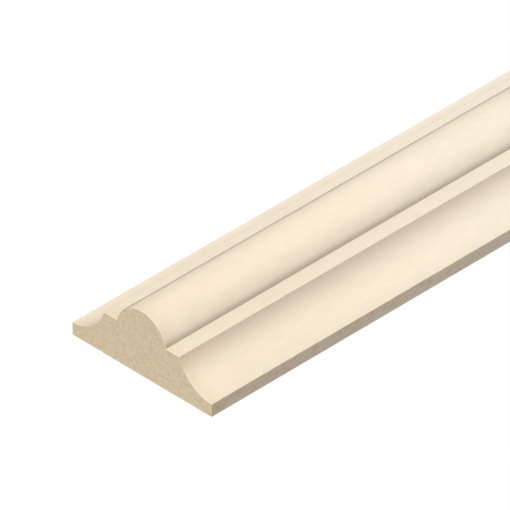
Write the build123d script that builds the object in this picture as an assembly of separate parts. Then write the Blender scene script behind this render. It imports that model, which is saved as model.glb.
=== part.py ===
from build123d import *
import os

# A double astragal moulding: one strip of machined stock. A round bead runs down the
# middle of its face, with a flat fillet on each side and a hollow cove out to each edge.
# Sizes are in millimetres. X runs across the strip, Y along it and Z up from its flat back.
# The origin is on the back, in the middle of the width and of the length.

# Size of the strip as it is sold
STRIP_WIDTH = 20.0
STRIP_THICKNESS = 8.0
STRIP_LENGTH = 2400.0

# Heights above the back of the square edge and of the two fillets
EDGE_THICKNESS = 1.55
FILLET_LEVEL = 5.1

# Widths across the face of the bead, from quirk to quirk, and of one fillet
BEAD_WIDTH = 7.0
FILLET_WIDTH = 1.9

# Depth of the cove below a straight line from its upper arris to its foot
COVE_HOLLOW = 0.93

# Ease on the sharp corners of the face, as a light sanding leaves them
ARRIS_RADIUS = 0.15


def right_side():
    """Right side of the section, from the bead's quirk out over the edge to the back."""
    quirk = Vector(BEAD_WIDTH / 2, FILLET_LEVEL)
    cove_top = Vector(BEAD_WIDTH / 2 + FILLET_WIDTH, FILLET_LEVEL)
    cove_foot = Vector(STRIP_WIDTH / 2, EDGE_THICKNESS)
    heel = Vector(STRIP_WIDTH / 2, 0)

    fillet_flat = Line(quirk, cove_top)
    cove = SagittaArc(cove_top, cove_foot, -COVE_HOLLOW)
    square_edge = Line(cove_foot, heel)
    return fillet_flat + cove + square_edge


def face_arrises(section):
    """The four corners of the face that are eased: two cove tops and two cove feet."""
    past_quirk = BEAD_WIDTH / 2 + ARRIS_RADIUS
    above_back = section.vertices().filter_by(lambda corner: corner.Y > ARRIS_RADIUS)
    return above_back.filter_by(lambda corner: abs(corner.X) > past_quirk)


def moulding_section():
    """Section of the strip, the same on both sides of its middle, on its flat back."""
    right = right_side()
    left = mirror(right, about=Plane.YZ)
    crown = Vector(0, STRIP_THICKNESS)

    bead = ThreePointArc(left @ 0, crown, right @ 0)
    back = Line(left @ 1, right @ 1)
    section = make_face(right + left + bead + back)
    return fillet(face_arrises(section), ARRIS_RADIUS)


def moulding():
    """The strip: its section drawn out along Y, half of the length to each side."""
    upright_section = Plane.XZ * moulding_section()
    return extrude(upright_section, amount=STRIP_LENGTH / 2, both=True)


os.makedirs("parts", exist_ok=True)
strip = moulding().solid()
strip.label = "moulding"
export_step(strip, "parts/moulding.step")
print(f"moulding: {strip.volume / 1000:.1f} cm3, {strip.bounding_box().size}")
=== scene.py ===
# %% [markdown]
# # A double astragal moulding, dressed and lit
#
# The object is one strip of pale timber, machined to a section with a round bead down the
# middle, a flat fillet on each side of it and a hollow cove out to each thin edge. The
# construction model is already packed, and it is the frame for everything here: this script
# lays a finely drawn skin over it, finishes its planed faces and its sawn ends, and puts it
# on a pale studio floor under the camera of the photograph. Lengths are in metres, X runs
# across the strip, Y along it and Z up from its flat back.

import math

import bmesh
import bpy
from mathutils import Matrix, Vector, noise


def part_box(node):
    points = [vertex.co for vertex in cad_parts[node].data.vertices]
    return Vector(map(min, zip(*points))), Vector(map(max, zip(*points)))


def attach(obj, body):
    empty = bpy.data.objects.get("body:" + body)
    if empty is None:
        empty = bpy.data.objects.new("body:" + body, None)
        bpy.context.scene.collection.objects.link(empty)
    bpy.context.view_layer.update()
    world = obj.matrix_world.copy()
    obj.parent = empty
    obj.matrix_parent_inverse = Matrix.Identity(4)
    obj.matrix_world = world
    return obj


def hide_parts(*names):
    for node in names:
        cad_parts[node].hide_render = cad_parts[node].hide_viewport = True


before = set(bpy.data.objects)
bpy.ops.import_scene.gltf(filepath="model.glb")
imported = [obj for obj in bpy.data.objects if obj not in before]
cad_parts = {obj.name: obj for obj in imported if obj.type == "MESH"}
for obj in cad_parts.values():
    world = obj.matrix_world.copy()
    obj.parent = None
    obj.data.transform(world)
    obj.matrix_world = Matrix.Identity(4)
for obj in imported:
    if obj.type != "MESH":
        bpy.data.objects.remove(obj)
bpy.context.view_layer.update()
scene = bpy.context.scene

# %% Size of the strip, from the frame
MM = 0.001
lowest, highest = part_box("moulding")
LENGTH = highest.y - lowest.y
HALF_WIDTH = (highest.x - lowest.x) / 2
THICKNESS = highest.z - lowest.z
NEAR_END = lowest.y
print(f"strip {LENGTH / MM:.1f} x {2 * HALF_WIDTH / MM:.3f} x {THICKNESS / MM:.3f} mm")

# %% [markdown]
# ## The camera
#
# The photograph looks along the strip and down on it, through a lens so long that parallel
# edges stay nearly parallel. Such a camera could be dragged about until it looks right, but
# three facts fix it exactly: the direction that it looks in, how far away one known point
# is, and which pixel that point falls on. The known point here is the foot of the near
# right corner. Worked out this way, the framing stays true if a size changes, and the lens
# needs no shift.

# %% Direction of view and lens
IMAGE_SIDE = 510
SENSOR = 36.0
FOCAL_PIXELS = 11950.0
AZIMUTH = math.radians(45.06)
ELEVATION = math.radians(35.42)

looking = Vector(
    (
        -math.sin(AZIMUTH) * math.cos(ELEVATION),
        math.cos(AZIMUTH) * math.cos(ELEVATION),
        -math.sin(ELEVATION),
    )
)
rightward = Vector((math.cos(AZIMUTH), math.sin(AZIMUTH), 0))
upward = rightward.cross(looking)
print("looking along", [round(c, 4) for c in looking])

# %% Place of the camera
CORNER_DISTANCE = 1.1994
CORNER_PIXEL = (211.5, 417.05)

corner = Vector((HALF_WIDTH, NEAR_END, 0))
metres_per_pixel = CORNER_DISTANCE / FOCAL_PIXELS
right_of_middle = (CORNER_PIXEL[0] - IMAGE_SIDE / 2) * metres_per_pixel
below_middle = (CORNER_PIXEL[1] - IMAGE_SIDE / 2) * metres_per_pixel

camera_data = bpy.data.cameras.new("photo_camera")
camera_data.sensor_width = SENSOR
camera_data.lens = SENSOR * FOCAL_PIXELS / IMAGE_SIDE
camera = bpy.data.objects.new("photo_camera", camera_data)
camera.location = corner - looking * CORNER_DISTANCE
camera.location += upward * below_middle - rightward * right_of_middle
camera.rotation_euler = looking.to_track_quat("-Z", "Y").to_euler()
scene.collection.objects.link(camera)
scene.camera = camera
scene.view_settings.view_transform = "Standard"
print("camera at", [round(c, 4) for c in camera.location], "lens", round(camera_data.lens, 1))

# %% [markdown]
# ## The section of the strip
#
# A moulding is drawn by its section, because what the cutters leave is the same from end to
# end. The section could be a curve with a bevel object, but a list of points gives control
# of where the points lie. The face never turns back under itself, so each place across the
# width has one height, and one line from edge to edge draws it. The bead and the coves are
# arcs, and an arc is known by its two ends and how far its middle bows from the straight
# line between them. The four sharp corners of the face carry the small round that a light
# sanding leaves.

# %% Sizes of the face
EDGE_THICKNESS = 1.55 * MM
FILLET_LEVEL = 5.1 * MM
HALF_BEAD = 3.5 * MM
FILLET_WIDTH = 1.9 * MM
COVE_HOLLOW = 0.93 * MM
ARRIS_RADIUS = 0.06 * MM

quirk = Vector((HALF_BEAD, FILLET_LEVEL))
cove_top = Vector((HALF_BEAD + FILLET_WIDTH, FILLET_LEVEL))
cove_foot = Vector((HALF_WIDTH, EDGE_THICKNESS))
print("cove spans", round((cove_foot - cove_top).length / MM, 2), "mm")


# %% Lines, arcs and eased corners
KEEP_CLEAR = 1.1


def straight(start, end, steps):
    """Points from start to end, evenly spaced."""
    return [start.lerp(end, k / steps) for k in range(steps + 1)]


def bowed(start, end, bow, steps):
    """An arc from start to end whose middle stands off the straight line by bow."""
    half = (end - start).length / 2
    along = (end - start).normalized()
    aside = Vector((-along.y, along.x))
    radius = (half * half + bow * bow) / (2 * bow)
    centre = (start + end) / 2 + aside * (bow - radius)
    reach = 2 * math.atan(bow / half)
    turns = [reach * (2 * k / steps - 1) for k in range(steps + 1)]
    return [centre + radius * (math.sin(t) * along + math.cos(t) * aside) for t in turns]


def eased(before, after, radius, steps):
    """Two runs of points joined by a small round where they meet at a corner.

    Points of a run that lie within the round, or only just outside it, are dropped.
    """
    sharp = before[-1]
    way_in = (sharp - before[-2]).normalized()
    way_out = (after[1] - sharp).normalized()
    half_turn = way_in.angle(way_out) / 2
    cut = radius * math.tan(half_turn)
    start = sharp - way_in * cut
    end = sharp + way_out * cut
    bow = radius * (1 - math.cos(half_turn))
    kept_before = [p for p in before if (p - sharp).length > cut * KEEP_CLEAR]
    kept_after = [p for p in after if (p - sharp).length > cut * KEEP_CLEAR]
    return kept_before + bowed(start, end, bow, steps) + kept_after


print("helpers for the section: straight, bowed, eased")

# %% Draw the face
BEAD_STEPS = 112
FILLET_STEPS = 20
COVE_STEPS = 60
ARRIS_STEPS = 5

left_quirk = Vector((-HALF_BEAD, FILLET_LEVEL))
bead = bowed(left_quirk, quirk, THICKNESS - FILLET_LEVEL, BEAD_STEPS)
fillet = straight(quirk, cove_top, FILLET_STEPS)
cove = bowed(cove_top, cove_foot, -COVE_HOLLOW, COVE_STEPS)
square_edge = [cove_foot, Vector((HALF_WIDTH, 0))]

to_the_foot = eased(fillet, cove, ARRIS_RADIUS, ARRIS_STEPS)
to_the_edge = eased(to_the_foot, square_edge, ARRIS_RADIUS, ARRIS_STEPS)
right_side = to_the_edge[1:-1]
left_side = [Vector((-p.x, p.y)) for p in reversed(right_side)]
face_line = left_side + bead + right_side
print("points across the face:", len(face_line))

# %% [markdown]
# ## How the skin is laid out
#
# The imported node's own mesh is coarse over the bead, and each of its ends is one flat face,
# with nothing for a rough saw cut to show on. So the strip gets a closed mesh of its own.
# Seen from the end it is a sheet of columns, one under each point of the face, and each
# column has the same number of rows from the back up. The outline of that sheet, drawn out
# along Y, makes the long faces, and the sheet itself closes each end. A tiny round runs
# about each end, where the sharp cut has been rubbed.

# %% Columns and rows
ROWS = 64
COLUMNS = len(face_line)


def square_to(points):
    """For each point of a run, the direction that leads out of the wood."""
    before = [points[0]] + points[:-1]
    after = points[1:] + [points[-1]]
    along = [(b - a).normalized() for a, b in zip(before, after)]
    return [Vector((-a.y, a.x)) for a in along]


outward = square_to(face_line)
outward[0] = Vector((-1, 0))
outward[-1] = Vector((1, 0))


def sheet(inset):
    """The section's points by column and row, with its outline drawn in by inset."""
    columns = []
    for point, out in zip(face_line, outward):
        top = point - out * inset
        foot = Vector((top.x, inset))
        columns.append([foot.lerp(top, row / ROWS) for row in range(ROWS + 1)])
    return columns


print("columns", COLUMNS, "rows", ROWS)

# %% The outline of the sheet, once round
outline = [(column, 0) for column in range(COLUMNS)]
outline += [(COLUMNS - 1, row) for row in range(1, ROWS + 1)]
outline += [(column, ROWS) for column in range(COLUMNS - 2, -1, -1)]
outline += [(0, row) for row in range(ROWS - 1, 0, -1)]
full_sheet = sheet(0)
girth = [0.0]
for here, there in zip(outline, outline[1:] + outline[:1]):
    step = full_sheet[there[0]][there[1]] - full_sheet[here[0]][here[1]]
    girth.append(girth[-1] + step.length)
print("once round the section:", round(girth[-1] / MM, 2), "mm")

# %% Stations along the strip
END_ROUND = 0.03 * MM
ROUND_STEPS = 3
LANES = 7
STATIONS_PER_LANE = 4

rounding = []
for step in range(ROUND_STEPS + 1):
    turn = math.pi / 2 * (1 - step / ROUND_STEPS)
    depth = END_ROUND * (1 - math.sin(turn))
    inset = END_ROUND * (1 - math.cos(turn))
    rounding.append((depth, inset))
spans = LANES * STATIONS_PER_LANE
stations = rounding + [(LENGTH * k / spans, 0.0) for k in range(1, spans)]
stations += [(LENGTH - depth, inset) for depth, inset in reversed(rounding)]
print("stations:", len(stations))

# %% [markdown]
# ## A sawn end
#
# A saw leaves end grain slightly torn: the cut fibres stand up between the pores, and the
# teeth leave shallow scratches. On a strip this small that is about a hundredth of a
# millimetre, which a bump map could draw. It is pressed into the mesh instead, always
# inwards, so the relief is real wherever the mesh goes, and the strip keeps its length.

# %% Depth of the torn grain
TEAR_SIZE = 0.20 * MM
TEAR_DEPTH = 0.016 * MM
SCRATCH_WIDTH = 0.45 * MM
SCRATCH_LENGTH = 6 * MM
SCRATCH_DEPTH = 0.006 * MM
SCRATCH_SLOPE = 0.3
SCRATCH_SEED = 7
NEAR_SEED = 1.7
FAR_SEED = 12.3


def dip(depth, place):
    """How deep a dip is at one place of the noise, from nothing to that depth."""
    return depth * (0.5 + 0.5 * noise.noise(Vector(place)))


def torn_grain(x, z, seed):
    """How far the sawn surface lies below the flat of the end at one place."""
    tear = dip(TEAR_DEPTH, (x / TEAR_SIZE, z / TEAR_SIZE, seed))
    across = (z - x * SCRATCH_SLOPE) / SCRATCH_WIDTH
    scratch = dip(SCRATCH_DEPTH, (across, x / SCRATCH_LENGTH, seed + SCRATCH_SEED))
    return tear + scratch


print("one spot lies", round(torn_grain(1 * MM, 2 * MM, NEAR_SEED) / MM, 4), "mm in")

# %% [markdown]
# ## A map of the skin
#
# The patterns further down need no map, because they are worked out from each point's place
# in the wood. A finish that leaves Blender is drawn on a square picture, though. Unrolled,
# this strip is fifty times as long as it is wide, and it would fill a thin line of that
# square. So its length is cut into lanes that lie side by side, as one folds a tape, and
# the two ends are drawn below them at a larger scale.

# %% Where a point falls on the map
END_SHARE = 0.11
MAP_GAP = 0.004
lane_height = (1 - END_SHARE) / LANES
end_scale = (END_SHARE - 2 * MAP_GAP) / THICKNESS


def on_lane(depth, around, lane):
    """Map place of a point on a long face, depth along the strip and around its girth."""
    along = (depth - lane * LENGTH / LANES) / (LENGTH / LANES)
    u = MAP_GAP + (1 - 2 * MAP_GAP) * along
    v = END_SHARE + lane_height * lane + (lane_height - MAP_GAP) * around / girth[-1]
    return u, v


def on_end(x, z, left):
    """Map place of a point on a sawn end, whose own part of the map begins at left."""
    return left + MAP_GAP + (x + HALF_WIDTH) * end_scale, MAP_GAP + z * end_scale


def lay(face, layer, places):
    """Gives the corners of a face their places on the map."""
    for loop, place in zip(face.loops, places):
        loop[layer].uv = place


print("a lane is", round(lane_height, 4), "high, an end", round(2 * HALF_WIDTH * end_scale, 3))

# %% [markdown]
# Now the faces can be made. A bmesh is Blender's own workbench for a mesh: points and faces
# are added one by one, and the result is poured into the object's mesh at the end. Each face
# carries the number of its finish. A new face has number 0, the planed wood, and the faces
# of the sawn ends get number 1.

# %% The long faces
skin = bmesh.new()
map_layer = skin.loops.layers.uv.new("OFBake")
rings = []
for depth, inset in stations:
    points = sheet(inset)
    y = NEAR_END + depth
    rings.append([skin.verts.new((points[c][r].x, y, points[c][r].y)) for c, r in outline])

for k in range(len(rings) - 1):
    near = rings[k]
    far = rings[k + 1]
    start = stations[k][0]
    stop = stations[k + 1][0]
    lane = int((start + stop) / 2 / LENGTH * LANES)
    for j in range(len(outline)):
        following = (j + 1) % len(outline)
        face = skin.faces.new((near[j], far[j], far[following], near[following]))
        steps = ((start, j), (stop, j), (stop, j + 1), (start, j + 1))
        lay(face, map_layer, [on_lane(depth, girth[g], lane) for depth, g in steps])
print("quads on the long faces:", len(skin.faces))

# %% The two ends
SAWN = 1
FAR_MAP_LEFT = 0.5
ENDS = (
    (rings[0], NEAR_END, 1, NEAR_SEED, 0.0),
    (rings[-1], NEAR_END + LENGTH, -1, FAR_SEED, FAR_MAP_LEFT),
)
end_sheet = sheet(END_ROUND)


def close_end(ring, y, inward, seed, map_left):
    """A fine sheet over one end, joined to its ring and pressed in by the torn grain.

    Inward is 1 where the wood lies towards +Y, and -1 at the far end. There the corners of
    each face are taken the other way round too, so that it faces out of the wood.
    """
    rim = dict(zip(outline, ring))
    points = {}
    for c in range(COLUMNS):
        for r in range(ROWS + 1):
            x, z = end_sheet[c][r]
            pressed = (x, y + inward * torn_grain(x, z, seed), z)
            points[c, r] = rim[c, r] if (c, r) in rim else skin.verts.new(pressed)
    for c in range(COLUMNS - 1):
        for r in range(ROWS):
            corners = [(c, r), (c + 1, r), (c + 1, r + 1), (c, r + 1)][::inward]
            face = skin.faces.new([points[at] for at in corners])
            face.material_index = SAWN
            places = [end_sheet[a][b] for a, b in corners]
            lay(face, map_layer, [on_end(x, z, map_left) for x, z in places])


for end in ENDS:
    close_end(*end)
print("quads in all:", len(skin.faces))

# %% [markdown]
# ## One piece on its body
#
# The long faces are curved, so they are shaded smooth, and only true corners such as the
# quirks stay sharp. Smooth shading alone would smear the tiny round at the ends over the
# long faces behind it. A Weighted Normal modifier prevents that, because it lets the large
# faces decide which way the surface points.

# %% Make the object
SHARP_ANGLE = math.radians(35)
mesh = bpy.data.meshes.new("moulding_strip")
skin.to_mesh(mesh)
skin.free()
mesh.shade_smooth()
mesh.set_sharp_from_angle(angle=SHARP_ANGLE)
strip = bpy.data.objects.new("moulding_strip", mesh)
scene.collection.objects.link(strip)
even_shading = strip.modifiers.new("even_shading", "WEIGHTED_NORMAL")
even_shading.keep_sharp = True

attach(strip, "root")
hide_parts("moulding")
print("triangles:", sum(len(p.vertices) - 2 for p in mesh.polygons))

# %% [markdown]
# ## Writing a finish as sums
#
# A finish is a graph of nodes, and a long graph is hard to read as code. So one small class
# wraps the output of a node, and Python's own signs add the Math nodes: where the text says
# 1 - on_left, the graph gets a Subtract. A Math node would turn a colour grey, so colours go
# through Mix nodes and places through Vector Math. Every other node comes from one method,
# which takes its type, its settings, the values or links of its sockets, and the output
# that is wanted.


# %% A wrapped output
class Wire:
    """One output of a node. Sums that are written with it add Math nodes."""

    def __init__(self, finish, socket):
        self.finish = finish
        self.socket = socket

    def math_node(self, operation, first, second):
        """The output of a new Math node. An operation on one value ignores the second."""
        settings = {"operation": operation}
        return self.finish.node("ShaderNodeMath", settings, {0: first, 1: second}, "Value")

    def __add__(self, other):
        return self.math_node("ADD", self, other)

    def __radd__(self, other):
        return self.math_node("ADD", other, self)

    def __sub__(self, other):
        return self.math_node("SUBTRACT", self, other)

    def __rsub__(self, other):
        return self.math_node("SUBTRACT", other, self)

    def __mul__(self, other):
        return self.math_node("MULTIPLY", self, other)

    def __rmul__(self, other):
        return self.math_node("MULTIPLY", other, self)

    def __abs__(self):
        return self.math_node("ABSOLUTE", self, 0.0)


print("a Wire adds Math nodes for +, -, * and abs()")


# %% A finish, and its one way of adding a node
class Finish:
    """The nodes of a material or of the world, added one call at a time."""

    def __init__(self, owner):
        owner.use_nodes = True
        self.owner = owner
        self.tree = owner.node_tree
        self.tree.nodes.clear()

    def node(self, kind, settings, values, output=None):
        """Adds a node, sets it up, fills its sockets and returns the output asked for."""
        made = self.tree.nodes.new(kind)
        for name, value in settings.items():
            setattr(made, name, value)
        for name, value in values.items():
            socket = self.open_socket(made.inputs, name)
            if isinstance(value, Wire):
                self.tree.links.new(value.socket, socket)
            elif socket.type == "RGBA":
                socket.default_value = (*value, 1.0)
            else:
                socket.default_value = value
        return Wire(self, self.open_socket(made.outputs, output)) if output else made

    def open_socket(self, sockets, name):
        """The socket in use with that name, or at that place."""
        if isinstance(name, int):
            return sockets[name]
        return next(s for s in sockets if s.name == name and s.enabled)

    def mix(self, factor, first, second, blend="MIX"):
        """A colour between two others."""
        settings = {"data_type": "RGBA", "blend_type": blend}
        values = {"Factor": factor, "A": first, "B": second}
        return self.node("ShaderNodeMix", settings, values, "Result")

    def times(self, first, second):
        """One colour multiplied by another."""
        return self.mix(1.0, first, second, "MULTIPLY")

    def place(self):
        """The point's own place in the wood, in metres."""
        return self.node("ShaderNodeTexCoord", {}, {}, "Object")

    def axis(self, name):
        """The point's own X, Y or Z in the wood, in metres."""
        return self.node("ShaderNodeSeparateXYZ", {}, {"Vector": self.place()}, name)

    def noise(self, size, detail):
        """Soft noise from 0 to 1, whose blotches are that many mm long in X, Y and Z.

        A higher detail breaks up the borders of the blotches.
        """
        scale = tuple(1 / (side * MM) for side in size)
        settings = {"operation": "MULTIPLY"}
        vectors = {0: self.place(), 1: scale}
        stretched = self.node("ShaderNodeVectorMath", settings, vectors, "Vector")
        values = {"Vector": stretched, "Scale": 1.0, "Detail": detail}
        return self.node("ShaderNodeTexNoise", {}, values, "Fac")

    def ease(self, value, low, high):
        """Turns a value into 0 below low and 1 above high, with a soft step between."""
        settings = {"interpolation_type": "SMOOTHSTEP"}
        values = {"Value": value, "From Min": low, "From Max": high}
        return self.node("ShaderNodeMapRange", settings, values, "Result")

    def bump(self, height, distance):
        """Surface directions tipped by a height from 0 to 1 that stands for distance."""
        values = {"Distance": distance, "Height": height}
        return self.node("ShaderNodeBump", {}, values, "Normal")

    def wood_surface(self, colour, roughness, normal, gloss):
        """The surface shader and the material's output."""
        values = {
            "Base Color": colour,
            "Roughness": roughness,
            "Normal": normal,
            "Specular IOR Level": gloss,
        }
        surface = self.node("ShaderNodeBsdfPrincipled", {}, values, "BSDF")
        self.node("ShaderNodeOutputMaterial", {}, {"Surface": surface})


print("helpers for a finish: node, mix, times, place, axis, noise, ease, bump, wood_surface")

# %% [markdown]
# ## The planed faces
#
# The wood is a pale, close-grained hardwood, cream and nearly even, bare and sanded smooth.
# It would be easy to give it bold grain, but then it would be another timber. What the eye
# can find is slight: fine fibres that run with the strip, short pores a little darker, soft
# patches, long faint bands, and a cream that pales over the first few centimetres from the
# cut. The first four are noise, each stretched along Y by its own amount. All of it is
# worked out in the wood itself, so a streak carries on over an edge as real grain does. The
# fibres also tip the surface a little, which breaks up the sheen.

# %% Fibres, patches, bands and pores
FINE_DETAIL = 2.0
SOFT_DETAIL = 1.0
FIBRE_SIZE = (0.16, 1.6, 0.16)
PATCH_SIZE = (0.9, 2.2, 0.9)
BAND_SIZE = (3.0, 40.0, 3.0)
PORE_SIZE = (0.10, 0.9, 0.10)
PORE_START = 0.66
PORE_FULL = 0.76

planed = Finish(bpy.data.materials.new("planed_wood"))
fibres = planed.noise(FIBRE_SIZE, FINE_DETAIL)
patches = planed.noise(PATCH_SIZE, FINE_DETAIL)
bands = planed.noise(BAND_SIZE, SOFT_DETAIL)
pores = planed.ease(planed.noise(PORE_SIZE, SOFT_DETAIL), PORE_START, PORE_FULL)
print("planed nodes so far:", len(planed.tree.nodes))

# %% Colour of the planed faces
CREAM_AT_THE_END = (0.901, 0.766, 0.592)
CREAM_FURTHER_IN = (0.912, 0.818, 0.663)
PALING_LENGTH = 70 * MM

from_cut = LENGTH / 2 - abs(planed.axis("Y"))
further_in = planed.ease(from_cut, 0.0, PALING_LENGTH)
cream = planed.mix(further_in, CREAM_AT_THE_END, CREAM_FURTHER_IN)
print("planed nodes so far:", len(planed.tree.nodes))

# %% How light or dark the grain is
BASE_TONE = 0.89
FIBRE_TONE = 0.07
PATCH_TONE = 0.09
BAND_TONE = 0.06
PORE_TONE = 0.05

grain_tone = FIBRE_TONE * fibres + PATCH_TONE * patches + BAND_TONE * bands
tone = BASE_TONE + grain_tone - PORE_TONE * pores
print("planed nodes so far:", len(planed.tree.nodes))

# %% [markdown]
# Some shade and some light are painted into the colour of the planed faces. The feet of the
# bead get a painted dark line of shade in the quirks, and the tops of the coves and the
# square edges a browner painted shade. The edges are flecked too, because there the cut
# crosses the fibres steeply. One line on the far flank of the bead gets painted shade all
# along the strip. The two sides differ a little: the foot of the left cove is painted
# lighter, the left fillet gets a touch of painted shade and the right fillet a touch of
# painted light. The last two millimetres before each cut are browner all round.
#
# Each of these places lies between two heights, or between two places across or along the
# strip. Painting them on a picture would need a very long picture, so each is worked out
# from the point's own place, as an amount from 0 to 1 with soft borders. The narrowest
# border is a hair's breadth.

# %% The parts of the section
HAIR = 0.02 * MM

height = planed.axis("Z")
across = planed.axis("X")
above_fillet = planed.ease(height, FILLET_LEVEL + HAIR / 2, FILLET_LEVEL + HAIR)
below_fillet = 1 - planed.ease(height, FILLET_LEVEL - 2 * HAIR, FILLET_LEVEL - HAIR)
on_fillet = 1 - above_fillet - below_fillet
on_edge = planed.ease(abs(across), HALF_WIDTH - 2 * HAIR, HALF_WIDTH - HAIR)
on_left = 1 - planed.ease(across, -HAIR, HAIR)
print("planed nodes so far:", len(planed.tree.nodes))

# %% Painted shade at the feet of the bead and the tops of the coves
FOOT_SHADE_HEIGHT = 0.9 * MM
COVE_SHADE_HEIGHT = 2.6 * MM

near_foot = 1 - planed.ease(height, FILLET_LEVEL + HAIR, FILLET_LEVEL + FOOT_SHADE_HEIGHT)
near_top = planed.ease(height, FILLET_LEVEL - COVE_SHADE_HEIGHT, FILLET_LEVEL - 2 * HAIR)
# Painted shade: the feet of the bead are darkened where the quirks would hold shade.
painted_foot_shade = above_fillet * near_foot
# Painted shade: the tops of the coves are darkened and browned.
painted_cove_shade = below_fillet * near_top
print("planed nodes so far:", len(planed.tree.nodes))

# %% Painted shade on the far flank of the bead, painted light at the left cove's foot
FLANK_SHADE_LINE = -2.35 * MM
FLANK_SHADE_HALF_WIDTH = 0.85 * MM
LEFT_FOOT_END = -8.9 * MM
LEFT_FOOT_BORDER = 0.5 * MM


def band(finish, value, start, stop, border):
    """1 where a value lies from start to stop, fading to 0 over a border outside them."""
    return finish.ease(value, start - border, start) - finish.ease(value, stop, stop + border)


# Painted shade: a dark line along the far flank of the bead, where the light falls off.
painted_flank_shade = above_fillet * band(planed, across, FLANK_SHADE_LINE, FLANK_SHADE_LINE, FLANK_SHADE_HALF_WIDTH)
# Painted light: the foot of the left cove is made a little paler.
left_foot_painted_light = below_fillet * band(planed, across, -HALF_WIDTH, LEFT_FOOT_END, LEFT_FOOT_BORDER)
print("planed nodes so far:", len(planed.tree.nodes))

# %% Flecks on the edges, and the wood next to the cut
SPECK_SIZE = (0.35, 0.8, 0.35)
SPECK_START = 0.48
SPECK_FULL = 0.60
CUT_BROWN_LENGTH = 2.2 * MM

specks = on_edge * planed.ease(planed.noise(SPECK_SIZE, FINE_DETAIL), SPECK_START, SPECK_FULL)
near_cut = 1 - planed.ease(from_cut, 0.0, CUT_BROWN_LENGTH)
print("planed nodes so far:", len(planed.tree.nodes))

# %% What each place multiplies the cream by
FOOT_SHADE_BROWN = (0.74, 0.69, 0.66)
COVE_SHADE_BROWN = (0.876, 0.842, 0.828)
# Painted shade: the square side edges are tinted a little darker and browner.
EDGE_SHADE_BROWN = (0.94, 0.925, 0.925)
SPECK_BROWN = (0.93, 0.90, 0.87)
FLANK_SHADE_BROWN = (0.54, 0.475, 0.42)
LEFT_FOOT_PAINTED_LIGHT = (1.025, 1.025, 1.035)
LEFT_FILLET_PAINTED_SHADE = (0.97, 0.975, 0.985)
RIGHT_FILLET_PAINTED_LIGHT = (1.025, 1.025, 1.03)
CUT_BROWN = (0.955, 0.94, 0.895)

tints = (
    (painted_foot_shade, FOOT_SHADE_BROWN),
    (painted_cove_shade, COVE_SHADE_BROWN),
    (on_edge, EDGE_SHADE_BROWN),
    (specks, SPECK_BROWN),
    (painted_flank_shade, FLANK_SHADE_BROWN),
    (left_foot_painted_light, LEFT_FOOT_PAINTED_LIGHT),
    # Painted shade: the left fillet is made a shade darker.
    (on_fillet * on_left, LEFT_FILLET_PAINTED_SHADE),
    # Painted light: the right fillet is made a shade paler.
    (on_fillet * (1 - on_left), RIGHT_FILLET_PAINTED_LIGHT),
    (near_cut, CUT_BROWN),
)
print("tinted places:", len(tints))

# %% All of it on the cream
WHITE = (1.0, 1.0, 1.0)


def tinted(finish, colour, amount, tint):
    """A colour multiplied by a tint where amount is 1, and left alone where it is 0."""
    return finish.times(colour, finish.mix(amount, WHITE, tint))


planed_colour = planed.times(cream, tone)
for amount, tint in tints:
    planed_colour = tinted(planed, planed_colour, amount, tint)
print("planed nodes so far:", len(planed.tree.nodes))

# %% Sheen and touch of the planed faces
PLANED_GLOSS = 0.15
PLANED_ROUGHNESS = 0.50
PATCH_ROUGHNESS = 0.12
PORE_ROUGHNESS = 0.10
FIBRE_HEIGHT = 0.005 * MM
PORE_SHARE = 0.8

planed_roughness = PLANED_ROUGHNESS + PATCH_ROUGHNESS * patches + PORE_ROUGHNESS * pores
planed_touch = planed.bump(fibres - PORE_SHARE * pores, FIBRE_HEIGHT)
planed.wood_surface(planed_colour, planed_roughness, planed_touch, PLANED_GLOSS)
mesh.materials.append(planed.owner)
print("planed nodes:", len(planed.tree.nodes))

# %% [markdown]
# ## The sawn ends
#
# End grain drinks light, so a sawn end is darker and browner than the faces beside it. It
# shows no rings here, only an even, sandy speckle of cut pores and torn fibre, a little
# coarser in some places than in others, and soft patches that lean towards pink or grey.
# A picture of end grain could be laid over it, but it would show its own edges. So close
# noise mixes the colours of pore and fibre, a coarser noise makes clumps of it lighter and
# darker, and the patches multiply it by casts so weak that they tint it without a shade.

# %% Speckle and clumps of the ends
SPECKLE_SIZE = (0.40, 0.40, 0.40)
CLUMP_SIZE = (0.9, 0.9, 0.9)
CUT_PORES = (0.545, 0.420, 0.200)
TORN_FIBRE = (0.850, 0.710, 0.580)
SAWN_TONE = 0.94
CLUMP_TONE = 0.12

sawn = Finish(bpy.data.materials.new("sawn_end"))
speckle = sawn.noise(SPECKLE_SIZE, FINE_DETAIL)
clumps = sawn.noise(CLUMP_SIZE, FINE_DETAIL)
tan = sawn.mix(speckle, CUT_PORES, TORN_FIBRE)
sawn_tone = SAWN_TONE + CLUMP_TONE * clumps
print("sawn nodes so far:", len(sawn.tree.nodes))

# %% Pink and grey patches
CAST_SIZE = (1.4, 1.4, 1.4)
PINK_UP_TO = 0.40
GREY_FROM = 0.60
PINK_CAST = (1.010, 0.990, 0.978)
GREY_CAST = (0.991, 1.009, 1.020)

patch = sawn.ease(sawn.noise(CAST_SIZE, SOFT_DETAIL), PINK_UP_TO, GREY_FROM)
cast = sawn.mix(patch, PINK_CAST, GREY_CAST)
sawn_colour = sawn.times(sawn.times(tan, cast), sawn_tone)
print("sawn nodes so far:", len(sawn.tree.nodes))

# %% Sheen and touch of the ends
SAWN_GLOSS = 0.1
SAWN_ROUGHNESS = 0.80
SPECKLE_ROUGHNESS = 0.15
SPECKLE_HEIGHT = 0.006 * MM

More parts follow.
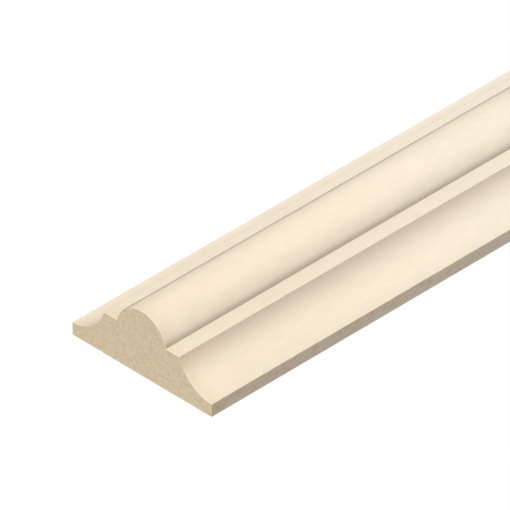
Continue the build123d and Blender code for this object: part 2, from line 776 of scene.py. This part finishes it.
sawn_roughness = SAWN_ROUGHNESS + SPECKLE_ROUGHNESS * speckle
sawn_touch = sawn.bump(speckle, SPECKLE_HEIGHT)
sawn.wood_surface(sawn_colour, sawn_roughness, sawn_touch, SAWN_GLOSS)
mesh.materials.append(sawn.owner)
print("sawn nodes:", len(sawn.tree.nodes))

# %% [markdown]
# ## A white studio
#
# The photograph's ground is pure white. More light would whiten a floor, but it would burn
# out the pale wood too. So the floor is a plain sheet that the camera sees as white, and
# the wood sees as the quiet grey that keeps its undersides soft. The Light Path node tells
# the two kinds of ray apart. Part of the white is lit like any surface, so the strip still
# drops its shadow on it.

# %% The finish of the floor
FLOOR_GREY = (0.16, 0.16, 0.16)
LIT_SHARE = 0.15


def seen_rays(finish):
    """1 for a ray that looks at the background, straight or by way of a gloss or a clear body."""
    camera_ray = finish.node("ShaderNodeLightPath", {}, {}, "Is Camera Ray")
    glossy_ray = finish.node("ShaderNodeLightPath", {}, {}, "Is Glossy Ray")
    through_ray = finish.node("ShaderNodeLightPath", {}, {}, "Is Transmission Ray")
    return camera_ray + glossy_ray + through_ray


paper = Finish(bpy.data.materials.new("studio_paper"))
quiet = paper.node("ShaderNodeBsdfDiffuse", {}, {"Color": FLOOR_GREY}, "BSDF")
lit = paper.node("ShaderNodeBsdfDiffuse", {}, {"Color": WHITE}, "BSDF")
steady = paper.node("ShaderNodeEmission", {}, {"Color": WHITE, "Strength": 1.0}, "Emission")
ground = paper.node("ShaderNodeMixShader", {}, {0: LIT_SHARE, 1: steady, 2: lit}, "Shader")
look = {0: seen_rays(paper), 1: quiet, 2: ground}
white_or_quiet = paper.node("ShaderNodeMixShader", {}, look, "Shader")
paper.node("ShaderNodeOutputMaterial", {}, {"Surface": white_or_quiet})
print("floor nodes:", len(paper.tree.nodes))

# %% The floor
FLOOR_REACH = 12.0

sides = ((-1, -1), (1, -1), (1, 1), (-1, 1))
floor_corners = [(x * FLOOR_REACH, y * FLOOR_REACH, 0) for x, y in sides]
floor_mesh = bpy.data.meshes.new("studio_floor")
floor_mesh.from_pydata(floor_corners, [], [(0, 1, 2, 3)])
floor_mesh.materials.append(paper.owner)
floor = bpy.data.objects.new("studio_floor", floor_mesh)
scene.collection.objects.link(floor)
print("floor", 2 * FLOOR_REACH, "m across")

# %% [markdown]
# ## The light
#
# The shades round the bead tell where the light stood. The brightest line lies a little to
# the right of the crown, the sawn end is well lit and the right-hand edge only half as
# much, so one large soft light stood in front of the end, a little to the right and about
# 45 degrees up. The left flank is lighter than that light alone would leave it, so a much
# weaker one stood low on the left. A third one behind, almost level, shows the far end to
# anyone who walks round the strip, and hardly touches the faces that the photograph shows.
# Lamps near the end would fade along two metres of strip, so all three are Suns with wide
# discs, and a trace of light from all round is the world's.

# %% Background and weak light from all round
ROUND_LIGHT = (0.16, 0.16, 0.16)
world = bpy.data.worlds.new("studio_air")
scene.world = world
air = Finish(world)
shade = air.mix(seen_rays(air), ROUND_LIGHT, WHITE)
backdrop = air.node("ShaderNodeBackground", {}, {"Color": shade, "Strength": 1.0}, "Background")
air.node("ShaderNodeOutputWorld", {}, {"Surface": backdrop})
print("background nodes:", len(air.tree.nodes))


# %% Three soft lights
def soft_light(name, towards, level, spread):
    """A Sun in that direction. A face turned to it gets that level; spread is in degrees."""
    lamp_data = bpy.data.lights.new(name, "SUN")
    lamp_data.energy = level * math.pi
    lamp_data.angle = math.radians(spread)
    lamp = bpy.data.objects.new(name, lamp_data)
    lamp.rotation_euler = Vector(towards).to_track_quat("Z", "Y").to_euler()
    scene.collection.objects.link(lamp)


soft_light("front_light", towards=(0.322, -0.647, 0.691), level=1.17, spread=32)
soft_light("left_light", towards=(-0.93, -0.30, 0.20), level=0.17, spread=30)
soft_light("back_light", towards=(0.10, 0.99, 0.06), level=0.30, spread=20)

# %% [markdown]
# In the photograph the hollows stay dark: no light is thrown from one pale face onto the
# next. Cycles lets diffuse light bounce several times, which would fill the coves and the
# quirks with a glow, so here it doesn't bounce at all.

# %% No light thrown between the faces
scene.cycles.diffuse_bounces = 0
print("diffuse bounces:", scene.cycles.diffuse_bounces)
